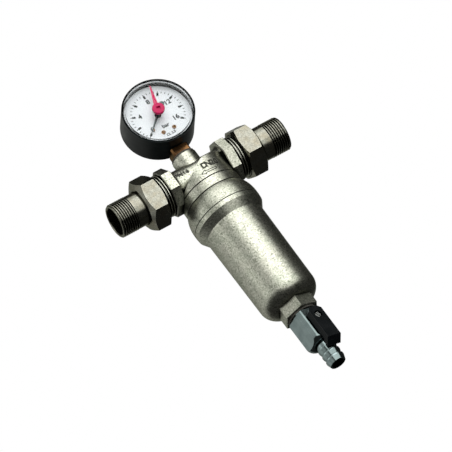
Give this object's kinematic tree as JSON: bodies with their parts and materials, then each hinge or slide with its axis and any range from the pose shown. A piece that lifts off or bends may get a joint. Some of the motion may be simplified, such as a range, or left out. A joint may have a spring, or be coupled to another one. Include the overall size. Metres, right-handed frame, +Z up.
{
  "type": "inline self-cleaning water filter with union ends, pressure gauge and drain valve",
  "caption": "Inline flushable water filter: forged body with union tails, screwed bowl around a mesh cartridge, round pressure gauge on top and a ball drain valve with hose tail below.",
  "frame": {"origin": "centre of the inlet tailpiece's end face, on the pipe axis", "axes": "+X out of the inlet along the pipe, so water flows towards -X; +Z up along the bowl axis; the gauge faces -Y"},
  "size_m": [0.145, 0.056, 0.2681],
  "materials": {
    "blasted_nickel": "bead-blasted nickel plating on forged brass",
    "satin_nickel": "turned, nickel plated",
    "black_rubber": "moulded",
    "white_plastic": "moulded",
    "stainless_mesh": "woven wire",
    "fibre": "pressed fibre sheet",
    "chrome_plate": "polished chrome plating on brass",
    "ptfe": "turned",
    "plain_brass": "turned and milled",
    "lever_plastic": "moulded, satin",
    "steel_screw": "zinc plated",
    "case_black": "moulded, satin",
    "clear_window": "clear moulded window",
    "dial_white": "white lacquer with black print",
    "pointer_black": "black lacquer",
    "tube_bronze": "drawn",
    "set_hand_red": "moulded"
  },
  "bodies": {
    "valve_body": {"body": "blasted_nickel", "gauge_seal_washer": "fibre", "gauge_socket": "plain_brass", "gauge_case": "case_black", "case_screws": "steel_screw", "gauge_window": "clear_window", "gauge_dial": "dial_white", "dial_screws": "plain_brass", "dial_spacers": "plain_brass", "zero_stop_pin": "plain_brass", "movement_back_plate": "plain_brass", "movement_front_plate": "plain_brass", "movement_pillars": "plain_brass", "movement_screws": "steel_screw", "movement_mount_screws": "steel_screw", "hairspring": "tube_bronze", "bourdon_tube": "tube_bronze"},
    "inlet_tail": {"inlet_tailpiece": "satin_nickel", "inlet_gasket": "black_rubber"},
    "inlet_nut": {"inlet_union_nut": "satin_nickel"},
    "outlet_tail": {"outlet_tailpiece": "satin_nickel", "outlet_gasket": "black_rubber"},
    "outlet_nut": {"outlet_union_nut": "satin_nickel"},
    "cartridge": {"cartridge_top_ring": "white_plastic", "cartridge_seal": "black_rubber", "cartridge_support": "white_plastic", "filter_mesh": "stainless_mesh", "cartridge_bottom_ring": "white_plastic"},
    "filter_bowl": {"bowl": "blasted_nickel", "bowl_o_ring": "black_rubber", "drain_gasket": "fibre", "drain_valve_body": "chrome_plate", "upper_ball_seat": "ptfe", "lower_ball_seat": "ptfe", "hose_tail": "chrome_plate"},
    "drain_handle": {"drain_lever": "lever_plastic", "lever_screw": "steel_screw", "drain_stem": "plain_brass", "stem_o_ring": "black_rubber", "drain_ball": "chrome_plate"},
    "pointer": {"gauge_pointer": "pointer_black", "pinion_arbor": "plain_brass"},
    "sector": {"sector_gear": "plain_brass", "sector_arbor": "plain_brass", "link_pin": "plain_brass"},
    "link": {"sector_link": "plain_brass"},
    "tip": {"tube_tip": "plain_brass"},
    "set_hand": {"set_pointer": "set_hand_red", "set_pointer_knob": "set_hand_red"}
  },
  "joints": [
    {"name": "inlet_tail_slide", "type": "slide", "parent": "valve_body", "child": "inlet_tail", "axis": [1, 0, 0], "range_m": [0, 0.01]},
    {"name": "inlet_nut_turn", "type": "hinge", "parent": "inlet_tail", "child": "inlet_nut", "pos_m": [-0.03, 0, 0], "axis": [1, 0, 0], "range_deg": [0, 1559.2]},
    {"name": "outlet_tail_slide", "type": "slide", "parent": "valve_body", "child": "outlet_tail", "axis": [-1, 0, 0], "range_m": [0, 0.01]},
    {"name": "outlet_nut_turn", "type": "hinge", "parent": "outlet_tail", "child": "outlet_nut", "pos_m": [-0.115, 0, 0], "axis": [-1, 0, 0], "range_deg": [0, 1559.2]},
    {"name": "bowl_slide", "type": "slide", "parent": "valve_body", "child": "cartridge", "axis": [0, 0, -1], "range_m": [0, 0.012]},
    {"name": "bowl_turn", "type": "hinge", "parent": "cartridge", "child": "filter_bowl", "pos_m": [-0.0725, 0, -0.036], "axis": [0, 0, -1], "range_deg": [0, 2160]},
    {"name": "drain_lever_turn", "type": "hinge", "parent": "filter_bowl", "child": "drain_handle", "pos_m": [-0.0725, 0, -0.151], "axis": [0.3256, -0.9455, 0], "range_deg": [0, 90]},
    {"name": "pointer_turn", "type": "hinge", "parent": "valve_body", "child": "pointer", "pos_m": [-0.0725, 0, 0.0546], "axis": [0, 1, 0], "range_deg": [0, 260]},
    {"name": "sector_turn", "type": "hinge", "parent": "valve_body", "child": "sector", "pos_m": [-0.0725, 0, 0.0426], "axis": [0, 1, 0], "range_deg": [-52, 0]},
    {"name": "link_turn", "type": "hinge", "parent": "sector", "child": "link", "pos_m": [-0.07229, 0, 0.03861], "axis": [0, 1, 0], "range_deg": [0, 52]},
    {"name": "tip_slide", "type": "slide", "parent": "valve_body", "child": "tip", "axis": [0.866, 0, 0.5], "range_m": [0, 0.0035], "stiffness_N_per_m": 60, "springref_m": -0.002, "deforming": ["bourdon_tube"]},
    {"name": "set_hand_turn", "type": "hinge", "parent": "valve_body", "child": "set_hand", "pos_m": [-0.0725, 0, 0.0546], "axis": [0, 1, 0], "continuous": true}
  ],
  "couplings": [
    {"joint": "inlet_nut_turn", "follows": "inlet_tail_slide", "rad_per_m": 2721.2},
    {"joint": "outlet_nut_turn", "follows": "outlet_tail_slide", "rad_per_m": 2721.2},
    {"joint": "bowl_turn", "follows": "bowl_slide", "rad_per_m": 3141.6},
    {"joint": "pointer_turn", "follows": "tip_slide", "rad_per_m": 1298},
    {"joint": "sector_turn", "follows": "tip_slide", "rad_per_m": -259.6},
    {"joint": "link_turn", "follows": "tip_slide", "rad_per_m": 259.6}
  ]
}
